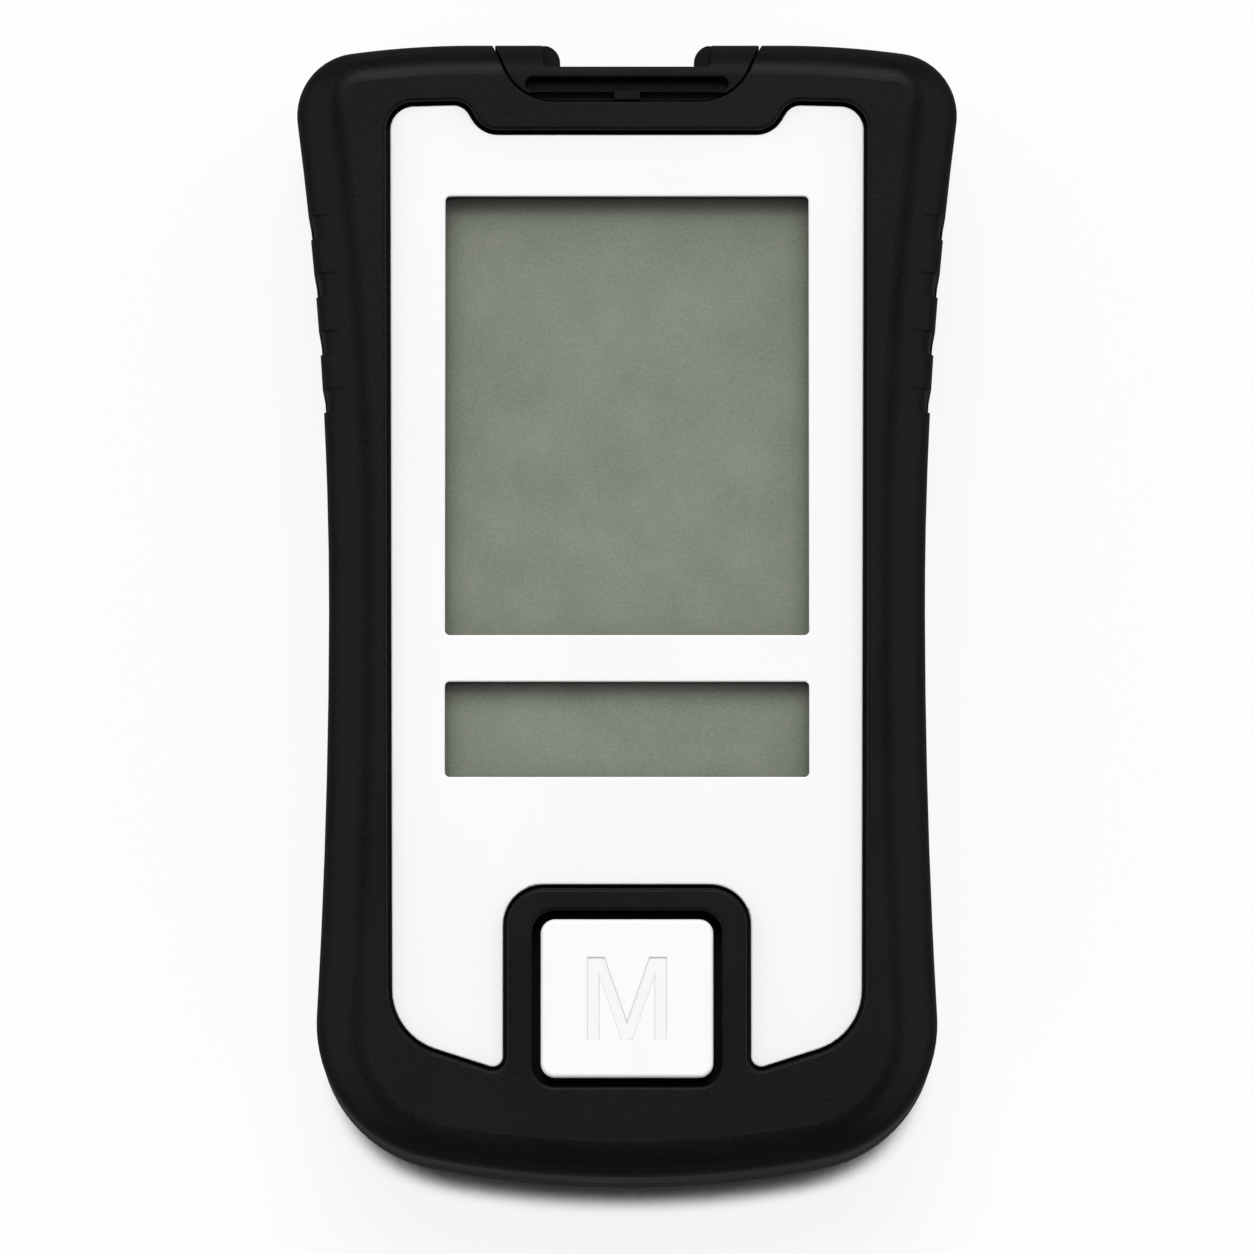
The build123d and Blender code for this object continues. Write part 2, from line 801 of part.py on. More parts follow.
def make_strip_contacts():
    """Bowed fingers on the socket's floor, one solid each."""
    low_z = strip_z - strip_slot_height / 2
    back_y = connector_end_y - connector_socket_depth
    middle_y = back_y + connector_socket_depth / 2
    front_y = connector_end_y - contact_width
    under = Polyline((0, front_y, low_z), (0, back_y, low_z))
    bow = ThreePointArc(
        (0, back_y, low_z + contact_thickness),
        (0, middle_y, low_z + contact_thickness + contact_bow),
        (0, front_y, low_z + contact_thickness),
    )
    ends = [
        Line((0, back_y, low_z), (0, back_y, low_z + contact_thickness)),
        Line((0, front_y, low_z), (0, front_y, low_z + contact_thickness)),
    ]
    finger = extrude(make_face(Curve() + [under, bow] + ends), contact_width / 2, both=True)
    return [Pos(x, 0, 0) * finger for x in contact_places()]


# ------------------------------------------------------------------ face plate and key
def make_face_plate():
    body = slab(plate_outline(), plate_bottom_z, plate_top_z)
    for top_y, bottom_y in (
        (large_window_top_y, large_window_bottom_y),
        (small_window_top_y, small_window_bottom_y),
    ):
        window = Pos(0, (top_y + bottom_y) / 2) * RectangleRounded(
            2 * window_half_width, top_y - bottom_y, window_radius
        )
        body -= slab(window, plate_bottom_z - PAST, plate_top_z + PAST)
    return fillet(body.edges().group_by(Axis.Z)[-1], plate_edge_radius)


def letter_plan():
    """Plain M: two stems and two strokes that meet in a flat foot."""
    top = mark_height / 2
    outer = mark_width / 2
    stem = outer - mark_stem
    shoulder = outer - mark_shoulder
    foot = mark_apex / 2
    slope = mark_height / (shoulder + foot)
    valley_y = top - slope * shoulder
    crook_y = -top + slope * (stem - foot)
    right = [
        (0, valley_y),
        (shoulder, top),
        (outer, top),
        (outer, -top),
        (stem, -top),
        (stem, crook_y),
        (foot, -top),
    ]
    left = [(-x, y) for x, y in reversed(right[1:])]
    return Pos(0, key_centre_y) * make_face(Polyline(*right, *left, close=True))


def make_memory_key():
    cap = slab(key_plan(), flange_bottom_z, key_top_z)
    cap = fillet(cap.edges().group_by(Axis.Z)[-1], key_edge_radius)
    flange = slab(key_plan(key_gap + key_flange_overlap), flange_bottom_z, flange_top_z)
    body = cap + flange
    body -= slab(letter_plan(), key_top_z - mark_depth, key_top_z + PAST)
    return chamfer(edges_on(body, letter_plan(), key_top_z), mark_bevel)


def make_key_pad():
    """Hollow silicone dome on a square base, with the contact pill hanging inside."""
    base = Pos(0, key_centre_y) * RectangleRounded(2 * pad_half_width, 2 * pad_half_width, key_radius)
    body = slab(base, board_top_z, board_top_z + pad_base_thickness)
    dome_height = flange_bottom_z - board_top_z
    middle = Pos(0, key_centre_y, board_top_z + dome_height / 2)
    body += middle * Cone(pad_dome_base_radius, pad_dome_top_radius, dome_height)
    hollow_height = key_travel + pad_stroke_gap
    hollow = Pos(0, key_centre_y, board_top_z + hollow_height / 2)
    shrink = (pad_dome_base_radius - pad_dome_top_radius) * hollow_height / dome_height
    hollow_radius = pad_dome_base_radius - pad_skin
    body -= hollow * Cone(hollow_radius, hollow_radius - shrink, hollow_height)
    return body


# ------------------------------------------------------------------ display stack
def make_display_lens():
    return wide_box(lens_half_x, lens_bottom_y, lens_top_y, lens_bottom_z, plate_bottom_z)


def make_lcd_polariser():
    half_x = lens_half_x - polariser_margin
    y0 = lens_bottom_y + polariser_margin
    y1 = lens_top_y - polariser_margin
    return wide_box(half_x, y0, y1, deck_bottom_z, deck_bottom_z + polariser_thickness)


def make_lcd_front_glass():
    return wide_box(glass_half_x, glass_bottom_y, glass_top_y, front_glass_z, deck_bottom_z)


def make_lcd_rear_glass():
    return wide_box(glass_half_x, rear_glass_bottom_y, glass_top_y, rear_glass_z, front_glass_z)


def make_lcd_reflector():
    half_x = glass_half_x - reflector_margin
    y0 = rear_glass_bottom_y + reflector_margin
    y1 = glass_top_y - reflector_margin
    return wide_box(half_x, y0, y1, reflector_z, rear_glass_z)


def zebra_span():
    """The rubber connector stands under the ledge of the front glass."""
    middle = rear_glass_bottom_y - glass_ledge / 2
    return middle - zebra_width / 2, middle + zebra_width / 2


def make_zebra_strip():
    y0, y1 = zebra_span()
    return wide_box(window_half_width, y0, y1, board_top_z, front_glass_z)


def make_lcd_holder():
    half_x = glass_half_x + holder_side_wall
    y0 = glass_bottom_y - holder_end_wall
    y1 = glass_top_y + holder_end_wall
    body = wide_box(half_x, y0, y1, board_top_z, deck_bottom_z)
    body -= wide_box(
        glass_half_x + holder_clearance,
        glass_bottom_y - holder_clearance,
        glass_top_y + holder_clearance,
        reflector_z,
        deck_bottom_z + PAST,
    )
    body -= wide_box(
        glass_half_x - holder_floor_rim,
        rear_glass_bottom_y + holder_floor_rim,
        glass_top_y - holder_floor_rim,
        board_top_z - PAST,
        reflector_z + PAST,
    )
    zebra_y0, zebra_y1 = zebra_span()
    body -= wide_box(
        window_half_width + holder_clearance,
        zebra_y0 - holder_clearance,
        zebra_y1 + holder_clearance,
        board_top_z - PAST,
        reflector_z + PAST,
    )
    return body


# ------------------------------------------------------------------ board
def make_main_board():
    body = wide_box(board_half_width, board_foot_start, board_head_start, board_bottom_z, board_top_z)
    body += wide_box(board_head_half_width, board_foot_start, board_head_end, board_bottom_z, board_top_z)
    body += wide_box(board_foot_half_width, board_foot_end, board_head_start, board_bottom_z, board_top_z)
    body = fillet(body.edges().filter_by(Axis.Z), board_corner_radius)
    for place in board_screw_places:
        body -= rod(place, board_screw_radius + screw_clearance, board_bottom_z - PAST, board_top_z + PAST)
    return body


def in_room(share):
    """Place along the case, as a share of the room between the cell bay and the strip socket."""
    return room_start_y + share * room_length


def lead(x, y, side, height):
    """One gull-wing lead: a foot out of the chip's side and a leg to the board."""
    low_z = board_bottom_z - height / 2
    half = lead_width / 2
    near_x, far_x = sorted((x, x + side * lead_reach))
    foot = box(near_x, far_x, y - half, y + half, low_z, low_z + lead_thickness)
    leg_x0, leg_x1 = sorted((x + side * (lead_reach - lead_thickness), x + side * lead_reach))
    return foot + box(leg_x0, leg_x1, y - half, y + half, low_z, board_bottom_z)


def chip(place, width, length, height, lead_total):
    """Moulded chip with leads on its two long sides, on the back of the board."""
    x, y = place
    half_x = width / 2
    half_y = length / 2
    low_z = board_bottom_z - height
    body = box(x - half_x, x + half_x, y - half_y, y + half_y, low_z, board_bottom_z - chip_lift)
    pitch = length / lead_total
    shapes = [body]
    for side in (-1, 1):
        for step in range(lead_total):
            lead_y = y + (step - (lead_total - 1) / 2) * pitch
            shapes.append(lead(x + side * half_x, lead_y, side, height))
    return joined(shapes)


def make_processor():
    length = processor_share * room_length
    place = (processor_x, in_room(processor_place_share))
    return chip(place, processor_width, length, processor_height, lead_count)


def make_memory_chip():
    length = memory_chip_share * room_length
    place = (memory_chip_x, in_room(memory_chip_place_share))
    return chip(place, memory_chip_width, length, memory_chip_height, lead_count // 2)


def make_crystal():
    radius = crystal_share * room_length / 2
    middle = Pos(crystal_x, in_room(crystal_place_share), board_bottom_z - radius)
    can = middle * Rot(0, 90, 0) * Cylinder(radius, crystal_length)
    return fillet(can.edges(), crystal_edge_share * radius)


def make_buzzer():
    place = (buzzer_x, in_room(buzzer_place_share))
    low_z = board_bottom_z - buzzer_height
    body = rod(place, buzzer_share * room_length / 2, low_z, board_bottom_z)
    return body - rod(place, buzzer_hole_radius, low_z - PAST, low_z + buzzer_height / 2)


def make_chip_parts():
    """Row of small resistors and capacitors beside the processor."""
    y = in_room(chip_part_place_share)
    half_y = chip_part_share * room_length / 2
    half_x = chip_part_width / 2
    low_z = board_bottom_z - chip_part_height
    solids = []
    for step in range(chip_part_count):
        x = chip_part_row_x - step * chip_part_pitch
        solids.append(box(x - half_x, x + half_x, y - half_y, y + half_y, low_z, board_bottom_z))
    return solids


# ------------------------------------------------------------------ cells and their contacts
def make_cell(side):
    """Left cell points its positive end at the strip end, the right cell the other way."""
    x = side * cell_spacing / 2
    radius = cell_diameter / 2
    nub_end = bay_end_y - terminal_thickness
    body_end = nub_end - cell_nub_length
    body = lying_rod(x, cell_z, radius, nub_end - cell_length, body_end)
    body = fillet(body.edges(), cell_edge_radius)
    body += lying_rod(x, cell_z, cell_nub_diameter / 2, body_end - cell_edge_radius, nub_end)
    if side < 0:
        return body
    bay_middle = (bay_start_y + bay_end_y) / 2
    return mirror(body, about=Plane.XZ.offset(-bay_middle))


def make_spring(side):
    """Coil between the flat end of a cell and its terminal."""
    x = side * cell_spacing / 2
    low_y = bay_start_y + terminal_thickness
    high_y = bay_end_y - terminal_thickness - spring_length
    start_y = low_y if side < 0 else high_y
    free = spring_length - 2 * spring_wire_radius
    path = Helix(free / spring_turns, free, spring_radius)
    section = Plane(origin=path @ 0, z_dir=path % 0) * Circle(spring_wire_radius)
    coil = sweep(section, path=path, is_frenet=True)
    return Pos(x, start_y + spring_wire_radius, cell_z) * Rot(-90, 0, 0) * coil


def terminal_plate(x, at_end, tab):
    """Flat contact plate against an end wall of the bay, with a tab up to the board."""
    y0 = bay_end_y - terminal_thickness if at_end else bay_start_y
    half = terminal_half_width
    plate = box(x - half, x + half, y0, y0 + terminal_thickness, cell_z - half, cell_z + half)
    if tab:
        half_tab = terminal_tab_half_width
        plate += box(x - half_tab, x + half_tab, y0, y0 + terminal_thickness, cell_z, board_bottom_z)
    return plate


def make_link_plate():
    """One plate joins the two cells in series at the bottom of the bay."""
    half_x = cell_spacing / 2 + terminal_half_width
    half_z = terminal_half_width
    return wide_box(half_x, bay_start_y, bay_start_y + terminal_thickness, cell_z - half_z, cell_z + half_z)


# ------------------------------------------------------------------ screws
def screw(place, head_z, head_radius, head_height, radius, length):
    """Cross-head screw driven upwards from the back; its head hangs below head_z."""
    head = rod(place, head_radius, head_z - head_height, head_z)
    head = fillet(head.edges().group_by(Axis.Z)[0], head_edge_share * head_height)
    body = head + rod(place, radius, head_z, head_z + length)
    x, y = place
    low_z = head_z - head_height
    for arm_x, arm_y in ((cross_arm, cross_width / 2), (cross_width / 2, cross_arm)):
        body -= box(x - arm_x, x + arm_x, y - arm_y, y + arm_y, low_z - PAST, low_z + cross_depth)
    return body


def make_case_screws():
    head = (case_screw_z, case_screw_head_radius, case_screw_head_height)
    return [screw(place, *head, case_screw_radius, case_screw_length) for place in case_screw_places]


def make_board_screws():
    head = (board_bottom_z, board_screw_head_radius, board_screw_head_height)
    return [screw(place, *head, board_screw_radius, board_screw_length) for place in board_screw_places]


# ------------------------------------------------------------------ write every piece
os.makedirs("parts", exist_ok=True)
front_form = front_blank()
rear_form = rear_blank()

save("front_case", make_front_case(front_form))
save("rear_case", make_rear_case(rear_form))
save("battery_door", make_battery_door(rear_form))
save("port_cover", make_port_cover(front_form))
save("strip_connector", make_strip_connector())
save("strip_contacts", *make_strip_contacts())
save("face_plate", make_face_plate())
save("memory_key", make_memory_key())
save("key_pad", make_key_pad())
save("display_lens", make_display_lens())
save("lcd_polariser", make_lcd_polariser())
save("lcd_front_glass", make_lcd_front_glass())
save("lcd_rear_glass", make_lcd_rear_glass())
save("lcd_reflector", make_lcd_reflector())
save("zebra_strip", make_zebra_strip())
save("lcd_holder", make_lcd_holder())
save("main_board", make_main_board())
save("processor", make_processor())
save("memory_chip", make_memory_chip())
save("crystal", make_crystal())
save("buzzer", make_buzzer())
save("chip_parts", *make_chip_parts())
save("left_cell", make_cell(-1))
save("right_cell", make_cell(1))
save("cell_springs", make_spring(-1), make_spring(1))
save("positive_terminal", terminal_plate(-cell_spacing / 2, True, True))
save("negative_terminal", terminal_plate(cell_spacing / 2, True, True))
save("link_plate", make_link_plate())
save("case_screws", *make_case_screws())
save("board_screws", *make_board_screws())
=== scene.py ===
import math

import bpy
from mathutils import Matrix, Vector


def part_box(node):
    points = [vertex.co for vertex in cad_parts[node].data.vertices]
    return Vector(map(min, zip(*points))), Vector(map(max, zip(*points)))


# Hand-held blood glucose meter on a pale table. Metres; +Z up through the face, +Y the strip end.
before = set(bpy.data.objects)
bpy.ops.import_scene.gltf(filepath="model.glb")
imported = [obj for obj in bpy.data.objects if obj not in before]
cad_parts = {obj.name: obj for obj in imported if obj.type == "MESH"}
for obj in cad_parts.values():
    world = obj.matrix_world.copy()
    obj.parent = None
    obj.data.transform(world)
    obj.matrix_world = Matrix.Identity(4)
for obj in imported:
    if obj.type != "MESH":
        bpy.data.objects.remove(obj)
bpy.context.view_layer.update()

MM = 0.001

# noise stays inside these values nearly everywhere, soft and fine noise in turn
CLOUD_LOW, CLOUD_HIGH = 0.3, 0.7
GRAIN_LOW, GRAIN_HIGH = 0.35, 0.65


# ------------------------------------------------------------------ colours and node helpers
def tone(red, green, blue):
    """A paint colour written as 0 to 255 on screen, turned into linear light."""
    levels = []
    for value in (red, green, blue):
        share = value / 255
        levels.append(share / 12.92 if share <= 0.04045 else ((share + 0.055) / 1.055) ** 2.4)
    return (*levels, 1.0)


def feed(tree, value, socket):
    """Sets a socket to a number or a colour, or links another socket to it."""
    if isinstance(value, (int, float, tuple)):
        socket.default_value = value
    else:
        tree.links.new(value, socket)


def reckon(tree, operation, first, second):
    """Math on two sockets or numbers."""
    node = tree.nodes.new("ShaderNodeMath")
    node.operation = operation
    feed(tree, first, node.inputs[0])
    feed(tree, second, node.inputs[1])
    return node.outputs["Value"]


def size_of(tree, value):
    """The value without its sign."""
    node = tree.nodes.new("ShaderNodeMath")
    node.operation = "ABSOLUTE"
    tree.links.new(value, node.inputs[0])
    return node.outputs["Value"]


def remap(tree, value, from_low, from_high, to_low, to_high, interpolation="LINEAR"):
    """Maps one range onto another, and holds it there."""
    node = tree.nodes.new("ShaderNodeMapRange")
    node.interpolation_type = interpolation
    tree.links.new(value, node.inputs["Value"])
    feed(tree, from_low, node.inputs["From Min"])
    feed(tree, from_high, node.inputs["From Max"])
    feed(tree, to_low, node.inputs["To Min"])
    feed(tree, to_high, node.inputs["To Max"])
    return node.outputs["Result"]


class Finish:
    """One procedural material, built round a single Principled shader."""

    def __init__(self, name, colour, roughness, **fixed):
        self.material = bpy.data.materials.new(name)
        self.material.use_nodes = True
        self.tree = self.material.node_tree
        self.tree.nodes.clear()
        self.output = self.add("ShaderNodeOutputMaterial")
        self.shader = self.add("ShaderNodeBsdfPrincipled")
        self.join(self.shader.outputs["BSDF"], self.output.inputs["Surface"])
        self.shader.inputs["Base Color"].default_value = colour
        self.shader.inputs["Roughness"].default_value = roughness
        for socket, value in fixed.items():
            self.shader.inputs[socket.replace("_", " ")].default_value = value
        self.place = self.add("ShaderNodeTexCoord").outputs["Object"]
        self.lift = None

    def add(self, kind, **settings):
        node = self.tree.nodes.new(kind)
        for key, value in settings.items():
            setattr(node, key, value)
        return node

    def join(self, source, target):
        self.tree.links.new(source, target)

    def moved(self, turn=(0, 0, 0), stretch=(1, 1, 1)):
        """The place on the piece, turned or stretched."""
        node = self.add("ShaderNodeMapping")
        self.join(self.place, node.inputs["Vector"])
        node.inputs["Rotation"].default_value = turn
        node.inputs["Scale"].default_value = stretch
        return node.outputs["Vector"]

    def axes(self):
        """X, Y and Z of the place on the piece."""
        node = self.add("ShaderNodeSeparateXYZ")
        self.join(self.place, node.inputs["Vector"])
        return node.outputs["X"], node.outputs["Y"], node.outputs["Z"]

    def noise(self, size, detail=2.0, grit=0.5, vector=None):
        """Cloudy noise whose patches are about size across, in metres."""
        node = self.add("ShaderNodeTexNoise")
        self.join(vector or self.place, node.inputs["Vector"])
        node.inputs["Scale"].default_value = 1 / size
        node.inputs["Detail"].default_value = detail
        node.inputs["Roughness"].default_value = grit
        return node.outputs["Fac"]

    def cells(self, size, feature="F1", vector=None):
        """Distance in a cellular pattern whose cells are about size across, in metres."""
        node = self.add("ShaderNodeTexVoronoi", feature=feature)
        self.join(vector or self.place, node.inputs["Vector"])
        node.inputs["Scale"].default_value = 1 / size
        return node.outputs["Distance"]

    def plus(self, first, second):
        return reckon(self.tree, "ADD", first, second)

    def minus(self, first, second):
        return reckon(self.tree, "SUBTRACT", first, second)

    def times(self, first, second):
        return reckon(self.tree, "MULTIPLY", first, second)

    def larger(self, first, second):
        return reckon(self.tree, "MAXIMUM", first, second)

    def below(self, first, second):
        """1 where the first value is less than the second, else 0."""
        return reckon(self.tree, "LESS_THAN", first, second)

    def size_of(self, value):
        return size_of(self.tree, value)

    def spread(self, factor, from_low, from_high, to_low, to_high):
        return remap(self.tree, factor, from_low, from_high, to_low, to_high)

    def mottle(self, cloud, grain):
        """Soft and fine noise mixed, from 0 to 1."""
        grain_share = 0.6
        soft = self.spread(cloud, CLOUD_LOW, CLOUD_HIGH, 0.0, 1.0 - grain_share)
        fine = self.spread(grain, GRAIN_LOW, GRAIN_HIGH, 0.0, grain_share)
        return self.plus(soft, fine)

    def between(self, factor, low, high):
        """Colour that runs from low to high as factor goes from 0 to 1."""
        node = self.add("ShaderNodeMix", data_type="RGBA")
        colour_low, colour_high, colour_out = node.inputs[6], node.inputs[7], node.outputs[2]
        self.join(factor, node.inputs["Factor"])
        feed(self.tree, low, colour_low)
        feed(self.tree, high, colour_high)
        return colour_out

    def paint(self, colour):
        self.join(colour, self.shader.inputs["Base Color"])

    def sheen_of(self, factor, smooth, rough):
        """Roughness that wanders between two values."""
        wander = self.spread(factor, CLOUD_LOW, CLOUD_HIGH, smooth, rough)
        self.join(wander, self.shader.inputs["Roughness"])

    def open_to_light(self):
        """Clear glass that lets lamplight and bounced light straight through."""
        held_back = 0.08
        path = self.add("ShaderNodeLightPath")
        light = self.larger(path.outputs["Is Shadow Ray"], path.outputs["Is Diffuse Ray"])
        self.join(self.spread(light, 0.0, 1.0, 1.0, held_back), self.shader.inputs["Alpha"])

    def relief(self, height, depth, strength):
        """Bump of a real depth in metres; a second call goes on top of the first."""
        node = self.add("ShaderNodeBump")
        self.join(height, node.inputs["Height"])
        node.inputs["Distance"].default_value = depth
        node.inputs["Strength"].default_value = strength
        if self.lift is not None:
            self.join(self.lift, node.inputs["Normal"])
        self.lift = node.outputs["Normal"]
        self.join(self.lift, self.shader.inputs["Normal"])


# ------------------------------------------------------------------ plastics
def soft_touch_black():
    """Rubbery coat on the front shell: fine grain, faint cloudiness."""
    finish = Finish("soft_touch_black", tone(11, 11, 13), 0.42, Specular_IOR_Level=0.1)
    grain = finish.noise(0.3 * MM, detail=4.0, grit=0.65)
    cloud = finish.noise(9 * MM, detail=3.0)
    finish.paint(finish.between(finish.mottle(cloud, grain), tone(4, 4, 5), tone(17, 17, 20)))
    finish.sheen_of(cloud, 0.38, 0.46)
    finish.relief(grain, 0.03 * MM, 0.7)
    return finish.material


def moulded_black():
    """Spark-eroded back shell and cell door: coarser, drier grain."""
    finish = Finish("moulded_black", tone(28, 28, 30), 0.48, Specular_IOR_Level=0.1)
    grain = finish.cells(0.28 * MM)
    fine = finish.noise(0.12 * MM, detail=2.0)
    cloud = finish.noise(12 * MM, detail=2.0)
    patches = finish.spread(cloud, CLOUD_LOW, CLOUD_HIGH, 0.0, 1.0)
    finish.paint(finish.between(patches, tone(22, 22, 24), tone(33, 33, 35)))
    finish.sheen_of(fine, 0.42, 0.54)
    finish.relief(grain, 0.02 * MM, 0.6)
    finish.relief(fine, 0.008 * MM, 0.5)
    return finish.material


def insert_black():
    """Strip-port insert: the same black, moulded bare."""
    finish = Finish("insert_black", tone(21, 21, 22), 0.46, Specular_IOR_Level=0.05)
    grain = finish.noise(0.22 * MM, detail=4.0, grit=0.6)
    cloud = finish.noise(5 * MM)
    finish.paint(finish.between(grain, tone(13, 13, 14), tone(27, 27, 29)))
    finish.sheen_of(cloud, 0.42, 0.5)
    finish.relief(grain, 0.02 * MM, 0.6)
    return finish.material


def plate_white(high):
    """Satin white face plate with the faintest flow marks; black below its top 0.3 mm is painted
    shade for the gap round the plate and the walls of its windows.
    """
    finish = Finish("plate_white", tone(246, 246, 248), 0.32, Specular_IOR_Level=0.35)
    shade_depth = 0.3 * MM
    flow = finish.noise(14 * MM, detail=2.0, vector=finish.moved(stretch=(1.0, 0.35, 1.0)))
    skin = finish.noise(0.35 * MM, detail=2.0)
    _, _, z = finish.axes()
    white = finish.between(flow, tone(245, 245, 247), tone(248, 248, 250))
    # painted shade: black on the walls and the back, below the white top
    behind = finish.below(z, high.z - shade_depth)
    finish.paint(finish.between(behind, white, tone(12, 12, 13)))
    finish.sheen_of(flow, 0.28, 0.38)
    finish.relief(skin, 0.003 * MM, 0.4)
    return finish.material


def key_white(low, high):
    """Key: white cap whose lower part is painted black as painted shade for the gap round the key,
    with painted shade in its engraved letter: a little on the floor, grey on the slopes.
    """
    finish = Finish("key_white", tone(246, 246, 247), 0.4, Specular_IOR_Level=0.35)
    letter_half = 3.5 * MM
    letter_edge_z = high.z - 0.01 * MM
    letter_slope_z = high.z - 0.04 * MM
    letter_foot_z = high.z - 0.1 * MM
    letter_floor_z = high.z - 0.135 * MM
    gap_shade_z = high.z - 0.6 * MM
    gap_shade_dullness = 0.5

    skin = finish.noise(0.25 * MM, detail=2.0)
    cloud = finish.noise(6 * MM)
    cap = finish.between(cloud, tone(245, 245, 246), tone(248, 248, 249))
    x, y, z = finish.axes()
    from_middle = finish.minus(y, (low.y + high.y) / 2)
    wide = finish.below(finish.size_of(x), letter_half)
    tall = finish.below(finish.size_of(from_middle), letter_half)
    letter_place = finish.times(wide, tall)
    sunk = finish.spread(z, letter_slope_z, letter_edge_z, 1.0, 0.0)
    above_floor = finish.spread(z, letter_floor_z, letter_foot_z, 0.0, 1.0)
    letter = finish.times(letter_place, sunk)
    slope_shade = finish.times(letter_place, finish.times(sunk, above_floor))
    # painted shade in the engraving: the letter's floor a shade darker, its slopes grey
    cap = finish.between(letter, cap, tone(245, 245, 247))
    cap = finish.between(slope_shade, cap, tone(216, 216, 219))
    # painted shade: the cap is black below 0.6 mm under its top, where the gap round the key lies in
    # shade
    gap_shade = finish.below(z, gap_shade_z)
    finish.paint(finish.between(gap_shade, cap, tone(5, 5, 5)))
    gloss = finish.spread(cloud, CLOUD_LOW, CLOUD_HIGH, 0.36, 0.44)
    roughness = finish.plus(gloss, finish.times(gap_shade, gap_shade_dullness))
    finish.join(roughness, finish.shader.inputs["Roughness"])
    finish.relief(skin, 0.004 * MM, 0.4)
    return finish.material


def inner_plastic():
    """Natural plastic of the carrier and the strip socket."""
    finish = Finish("inner_plastic", tone(214, 213, 208), 0.5)
    grain = finish.noise(0.3 * MM, detail=3.0)
    flow = finish.noise(8 * MM)
    finish.paint(finish.between(flow, tone(207, 206, 200), tone(220, 219, 215)))
    finish.sheen_of(grain, 0.44, 0.56)
    finish.relief(grain, 0.01 * MM, 0.5)
    return finish.material


def silicone():
    """Milky silicone of the key pad."""
    scatter = {"Subsurface_Weight": 0.2, "Subsurface_Scale": 2 * MM}
    finish = Finish("silicone", tone(205, 205, 200), 0.5, **scatter)
    cloud = finish.noise(3 * MM, detail=3.0)
    finish.paint(finish.between(cloud, tone(196, 196, 190), tone(214, 214, 209)))
    finish.sheen_of(cloud, 0.42, 0.58)
    finish.relief(finish.noise(0.2 * MM), 0.006 * MM, 0.5)
    return finish.material


def striped_rubber():
    """Connector strip: fine black stripes of conducting rubber across a pale one."""
    finish = Finish("striped_rubber", tone(190, 190, 186), 0.6)
    stripe_spacing = 2.2 * MM
    wave = finish.add("ShaderNodeTexWave", wave_type="BANDS", bands_direction="X")
    finish.join(finish.place, wave.inputs["Vector"])
    wave.inputs["Scale"].default_value = 1 / stripe_spacing
    stripes = finish.spread(wave.outputs["Fac"], 0.45, 0.55, 0.0, 1.0)
    finish.paint(finish.between(stripes, tone(30, 30, 30), tone(196, 196, 190)))
    finish.sheen_of(finish.noise(0.4 * MM), 0.52, 0.68)
    return finish.material


# ------------------------------------------------------------------ display
def clear_window():
    """Clear acrylic window under the plate."""
    finish = Finish("clear_window", (1.0, 1.0, 1.0, 1.0), 0.03, Transmission_Weight=1.0, IOR=1.49)
    finish.sheen_of(finish.noise(6 * MM), 0.0, 0.03)
    finish.relief(finish.noise(9 * MM), 0.001 * MM, 0.3)
    finish.open_to_light()
    return finish.material


def display_field():
    """Grey-green field of a display at rest, with painted shade that darkens it towards the edges of
    the windows, where the plate shades it.
    """
    finish = Finish("display_field", tone(130, 136, 121), 0.5, Specular_IOR_Level=0.05)
    large_top = 34.55 * MM
    small_top = -6.2 * MM
    window_half = 15.17 * MM
    small_margin = 1.0 * MM

    cloud = finish.noise(5 * MM, detail=3.0)
    grain = finish.noise(0.22 * MM, detail=3.0, grit=0.7)
    field = finish.between(finish.mottle(cloud, grain), tone(116, 123, 107), tone(141, 147, 131))

    # share of the colour left outside the painted shade, by the distance inside each edge
    x, y, _ = finish.axes()
    below_large = finish.minus(large_top, y)
    below_small = finish.minus(small_top, y)
    inside = finish.minus(window_half, finish.size_of(x))
    near_top = finish.spread(below_large, 0.2 * MM, 1.5 * MM, 0.33, 1.0)
    far_top = finish.spread(below_large, 0.0, 6.0 * MM, 0.75, 1.0)
    large_top_shade = finish.times(near_top, far_top)
    near_small = finish.spread(below_small, 0.0, 0.8 * MM, 0.42, 1.0)
    in_small = finish.below(y, small_top + small_margin)
    small_top_shade = finish.plus(finish.times(finish.minus(near_small, 1.0), in_small), 1.0)
    sides = finish.spread(inside, 0.1 * MM, 1.7 * MM, 0.74, 1.0)
    clear = finish.times(large_top_shade, finish.times(small_top_shade, sides))
    # painted shadow: black mixed in close under the plate's edges, most under the top edges
    finish.paint(finish.between(clear, tone(0, 0, 0), field))
    finish.sheen_of(grain, 0.45, 0.55)
    finish.relief(grain, 0.004 * MM, 0.4)
    return finish.material


def display_glass():
    """Thin glass of the display, faintly green."""
    finish = Finish("display_glass", tone(236, 246, 240), 0.05, Transmission_Weight=1.0, IOR=1.52)
    finish.sheen_of(finish.noise(8 * MM), 0.02, 0.06)
    finish.open_to_light()
    return finish.material


def foil_reflector():
    """Silver foil behind the display, brushed one way."""
    finish = Finish("foil_reflector", tone(206, 208, 204), 0.3, Metallic=1.0)
    brush = finish.noise(0.3 * MM, detail=3.0, vector=finish.moved(stretch=(1.0, 0.03, 1.0)))
    finish.paint(finish.between(brush, tone(192, 194, 190), tone(216, 218, 214)))
    finish.sheen_of(brush, 0.24, 0.38)
    finish.relief(brush, 0.004 * MM, 0.5)
    return finish.material


